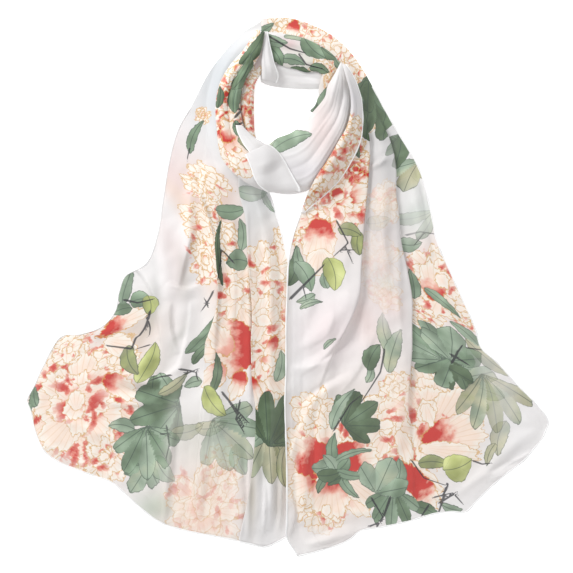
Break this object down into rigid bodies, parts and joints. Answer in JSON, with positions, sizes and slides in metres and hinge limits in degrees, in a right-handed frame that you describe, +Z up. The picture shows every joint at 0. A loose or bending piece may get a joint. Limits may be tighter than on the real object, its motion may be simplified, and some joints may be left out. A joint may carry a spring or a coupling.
{
  "type": "chiffon scarf",
  "caption": "Sheer printed chiffon scarf laid out flat, wound once round a neck opening with both ends fanned out below.",
  "frame": {"origin": "middle of the laid-out scarf's outline, on the surface that it lies on", "axes": "+Z up from the surface, +Y towards the top of the neck loop, +X towards the right tail"},
  "size_m": [0.573, 0.5916, 0.0279],
  "materials": {
    "printed_chiffon": "matte sheer print",
    "plain_chiffon": "matte sheer"
  },
  "bodies": {
    "root": {"hidden_roll": "plain_chiffon", "neck_lining": "plain_chiffon", "left_tail": "printed_chiffon", "right_tail": "printed_chiffon", "back_band": "printed_chiffon", "inner_left_fold": "printed_chiffon", "inner_right_fold": "printed_chiffon", "dog_ear": "plain_chiffon", "front_drape": "printed_chiffon", "shoulder_strip": "printed_chiffon", "hook": "plain_chiffon", "tongue": "plain_chiffon"}
  },
  "joints": []
}
